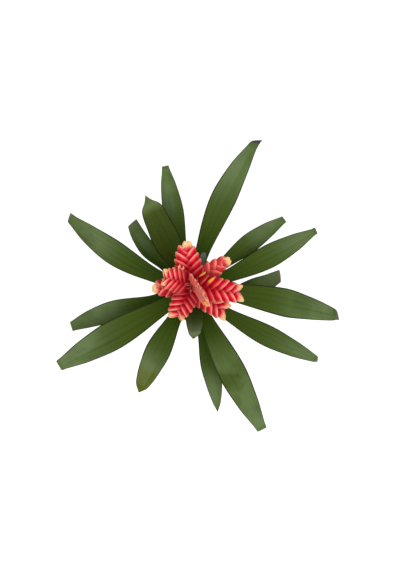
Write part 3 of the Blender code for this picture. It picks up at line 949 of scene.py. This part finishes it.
def potMaterial(look):
    n = Nodes("potPlastic")
    place = n.place()
    height = n.add("SeparateXYZ", Vector=place).outputs["Z"]
    grain = n.noise(place, look["grain"], 2.0)
    scuffs = n.noise(place, 1.0, 3.0, look["scuffs"])
    clouds = n.noise(place, look["clouds"], 3.0)
    colour = n.share(0.5, n.ramp(clouds, 0.4, 0.7), look["colour"], look["worn"])
    colour = n.share(0.5, n.ramp(scuffs, 0.62, 0.7), colour, look["worn"])
    low = n.math("MULTIPLY", n.ramp(height, look["dustTop"], 0.0), n.ramp(clouds, 0.42, 0.6))
    colour = n.share(0.45, low, colour, look["dust"])
    n.colour(colour)
    n.roughness(n.math("ADD", 0.42, n.math("MULTIPLY", clouds, 0.25)))
    n.bump(n.math("ADD", grain, n.math("MULTIPLY", scuffs, 0.5)), 0.25, 0.0003)
    return n.material


def turnedPiece(outline, sides):  # turns an outline of (radius, height) points about the pot's axis
    work = bmesh.new()
    start = work.verts.new((outline[0][0], 0, outline[0][1]))
    chain = [start]
    for radius, height in outline[1:]:
        grown = bmesh.ops.extrude_vert_indiv(work, verts=[chain[-1]])["verts"][0]
        grown.co = (radius, 0, height)
        chain.append(grown)
    bmesh.ops.spin(work, geom=work.verts[:] + work.edges[:], cent=(0, 0, 0), axis=(0, 0, 1),
                   angle=math.tau, steps=sides, use_merge=True)
    bmesh.ops.remove_doubles(work, verts=work.verts, dist=0.001 * mm)
    bmesh.ops.recalc_face_normals(work, faces=work.faces)
    return work


def arcPoints(out, up, radius, first, last, steps=4):
    turns = [math.radians(first + (last - first) * step / steps) for step in range(steps + 1)]
    return [(out + radius * math.cos(turn), up + radius * math.sin(turn)) for turn in turns]


def potInside(height):
    slope = (potLook["rimRadius"] - potLook["rimOverhang"] - potLook["baseRadius"]) / potLook["height"]
    return potLook["baseRadius"] + slope * height - potLook["wall"]


def buildPot():
    look = potLook
    top = look["height"]
    rimBottom = top - look["rimHeight"]
    bodyAtRim = potInside(rimBottom) + look["wall"]
    foot, soft, lip = look["footRadius"], look["rimSoft"], look["lipSoft"]
    outer = look["rimRadius"]
    standInner, standOuter = look["standRadii"]
    outline = [(0, look["standStep"]), (standInner, look["standStep"]), (standOuter, 0)]
    outline += arcPoints(look["baseRadius"] - foot, foot, foot, -90, 0, 5)
    outline += [(bodyAtRim - look["neckInset"], rimBottom - look["neckDrop"]),
                (bodyAtRim + look["ledge"], rimBottom)]
    outline += arcPoints(outer - soft, rimBottom + soft, soft, -90, 0)
    outline += [(outer - look["rimWaist"], rimBottom + look["waistFrom"]),
                (outer - look["rimWaist"], top - look["waistTo"])]
    outline += arcPoints(outer - soft, top - soft, soft, 0, 90)
    outline += arcPoints(potInside(top) + lip, top - lip, lip, 90, 180)
    outline += [(potInside(look["floor"]), look["floor"]), (0, look["floor"])]
    name = "growerPot"
    pot = bpy.data.objects.new(name, meshFrom(name, turnedPiece(outline, look["sides"])))
    bpy.context.scene.collection.objects.link(pot)
    drill = bmesh.new()
    for index in range(look["drainCount"]):
        turn = math.tau * (index + 0.5) / look["drainCount"]
        place = Vector((math.cos(turn), math.sin(turn), 0)) * look["drainCircle"]
        bmesh.ops.create_cone(drill, cap_ends=True, segments=look["drainSides"],
                              radius1=look["drainRadius"], radius2=look["drainRadius"],
                              depth=4 * look["floor"], matrix=Matrix.Translation(place))
    cutter = bpy.data.objects.new("drainCutter", meshFrom("drainCutter", drill))
    bpy.context.scene.collection.objects.link(cutter)
    cut = pot.modifiers.new("drains", "BOOLEAN")
    cut.operation = "DIFFERENCE"
    cut.solver = "EXACT"
    cut.object = cutter
    graph = bpy.context.evaluated_depsgraph_get()
    drilled = bpy.data.meshes.new_from_object(pot.evaluated_get(graph))
    bpy.data.objects.remove(pot, do_unlink=True)
    bpy.data.objects.remove(cutter, do_unlink=True)
    work = bmesh.new()
    work.from_mesh(drilled)
    bmesh.ops.triangulate(work, faces=work.faces)
    bmesh.ops.dissolve_degenerate(work, dist=0.01 * mm, edges=work.edges)  # slivers the drill leaves
    work.to_mesh(drilled)
    work.free()
    piece = finishPiece(name, drilled, potMaterial(look), ["pot"])
    piece.data.set_sharp_from_angle(angle=math.radians(look["sharpAngle"]))


buildPot()


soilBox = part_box("soil")
soilTop = soilBox[1][2]
soilLook = {
    "roughness": 1.6 * mm,
    "lumpHeight": 0.96 * mm,
    "lumps": (120, 420),
    "smallLumps": 0.6,
    "lumpRise": 0.4,
    "sides": 160,
    "rings": 26,
    "crumbs": 320.0,
    "clumps": 60.0,
    "colours": ((0.045, 0.028, 0.017), (0.085, 0.052, 0.03), (0.02, 0.013, 0.009)),
}
chips = {
    "count": 420,
    "size": (1.6 * mm, 4.2 * mm),
    "flatness": (0.25, 0.5),
    "colours": ((0.11, 0.055, 0.026), (0.19, 0.1, 0.05), (0.05, 0.025, 0.014)),
}
perlite = {
    "count": 90,
    "size": (0.8 * mm, 1.8 * mm),
    "flatness": (0.7, 1.0),
    "colours": ((0.62, 0.6, 0.55), (0.75, 0.73, 0.68), (0.42, 0.38, 0.32)),
}
scatter = {  # what bark and perlite share
    "fromCrown": 2 * mm,
    "fromWall": 3 * mm,
    "long": (0.8, 1.5),
    "wide": (0.5, 0.9),
    "ragged": (0.8, 1.15),
    "tilt": (-0.5, 0.5),
    "sunk": (0.2, 1.2),  # in mm
}


def soilMaterial(name, colours):
    n = Nodes(name)
    place = n.place()
    crumbs = n.noise(place, soilLook["crumbs"], 5.0)
    clumps = n.noise(place, soilLook["clumps"], 3.0)
    colour = n.mix(n.ramp(clumps, 0.35, 0.65), colours[0], colours[1])
    colour = n.share(0.8, n.ramp(crumbs, 0.52, 0.66), colour, colours[2])
    n.colour(colour)
    n.roughness(n.math("ADD", 0.78, n.math("MULTIPLY", clumps, 0.2)))
    n.shader.inputs["Specular IOR Level"].default_value = 0.2
    n.bump(n.math("ADD", crumbs, clumps), 0.9, 0.0015)
    return n.material


def buildSoil():
    look = soilLook
    recess = crownRadius + gap
    recessFloor = crownBox[0][2] - gap
    bottom = soilBox[0][2]
    bed = soilTop - look["roughness"]
    wallTop = potInside(soilTop) - gap
    surface = [(wallTop + (recess - wallTop) * step / look["rings"], bed)
               for step in range(look["rings"] + 1)]
    outline = [(0, bottom), (potInside(bottom) - gap, bottom)] + surface
    outline += [(recess, recessFloor), (0, recessFloor)]
    work = turnedPiece(outline, look["sides"])
    large, small = look["lumps"]
    for vert in work.verts:
        if abs(vert.co.z - bed) < 0.01 * mm:
            lump = noise.noise(vert.co * large) + look["smallLumps"] * noise.noise(vert.co * small)
            vert.co.z += look["lumpHeight"] * (lump + look["lumpRise"])
    finishPiece("pottingMix", meshFrom("pottingMix", work), soilMaterial("pottingMix", look["colours"]),
                ["soil"])


def scatterPieces(name, kind, material):
    chance = random.Random(name)
    work = bmesh.new()
    inner = crownRadius + scatter["fromCrown"]
    outer = potInside(soilTop) - scatter["fromWall"]
    for index in range(kind["count"]):
        size = chance.uniform(*kind["size"])
        made = bmesh.ops.create_icosphere(work, subdivisions=1, radius=size)["verts"]
        stretch = [chance.uniform(*scatter["long"]), chance.uniform(*scatter["wide"])]
        stretch.append(chance.uniform(*kind["flatness"]))
        bmesh.ops.scale(work, verts=made, vec=stretch)
        for vert in made:
            vert.co *= chance.uniform(*scatter["ragged"])
        tilt = Matrix.Rotation(chance.uniform(*scatter["tilt"]), 3, "X")
        tilt @= Matrix.Rotation(chance.uniform(0, 3.2), 3, "Z")
        bmesh.ops.rotate(work, verts=made, matrix=tilt)
        turn = chance.uniform(0, math.tau)
        radius = math.sqrt(chance.uniform(inner ** 2, outer ** 2))
        height = soilTop - chance.uniform(*scatter["sunk"]) * mm
        place = (radius * math.cos(turn), radius * math.sin(turn), height)
        bmesh.ops.translate(work, verts=made, vec=place)
    piece = finishPiece(name, meshFrom(name, work), material)
    piece.data.shade_flat()


buildSoil()
scatterPieces("barkChips", chips, soilMaterial("barkChip", chips["colours"]))
scatterPieces("perlite", perlite, soilMaterial("perliteGrain", perlite["colours"]))
print("pot and soil done")

studio = {
    "floorSize": 4,
    "floorColour": (0.3, 0.3, 0.3, 1),
    "floorGlow": 0.95,
    "worldStrength": 0.4,
    "softboxSize": 1.6,
    "softboxPower": 50,
    "softboxPlace": (0.35, -0.45, 2.7),
    "softboxFacing": (0.35, -0.45, 2.4),
    "lens": 70,
    "cameraPlace": (0.0153, 0.0072, 2.2),
}
floorWork = bmesh.new()
bmesh.ops.create_grid(floorWork, x_segments=1, y_segments=1, size=studio["floorSize"])
floor = bpy.data.objects.new("floor", meshFrom("floor", floorWork))
bpy.context.scene.collection.objects.link(floor)
floorNodes = Nodes("paleFloor")
floorNodes.shader.inputs["Base Color"].default_value = studio["floorColour"]
floorNodes.shader.inputs["Roughness"].default_value = 0.9
floorNodes.shader.inputs["Emission Color"].default_value = (1, 1, 1, 1)
floorNodes.shader.inputs["Emission Strength"].default_value = studio["floorGlow"]
floor.data.materials.append(floorNodes.material)

world = bpy.data.worlds.new("studio")
bpy.context.scene.world = world
world.use_nodes = True
background = world.node_tree.nodes["Background"]
background.inputs["Color"].default_value = (1, 1, 1, 1)
background.inputs["Strength"].default_value = studio["worldStrength"]

keyData = bpy.data.lights.new("softbox", "AREA")
keyData.size = studio["softboxSize"]
keyData.energy = studio["softboxPower"]
key = bpy.data.objects.new("softbox", keyData)
key.location = studio["softboxPlace"]
key.rotation_euler = Vector(studio["softboxFacing"]).to_track_quat("Z", "Y").to_euler()
bpy.context.scene.collection.objects.link(key)

cameraData = bpy.data.cameras.new("camera")
cameraData.lens = studio["lens"]
camera = bpy.data.objects.new("camera", cameraData)
camera.location = studio["cameraPlace"]
bpy.context.scene.collection.objects.link(camera)
bpy.context.scene.camera = camera
bpy.context.scene.view_settings.view_transform = "Standard"
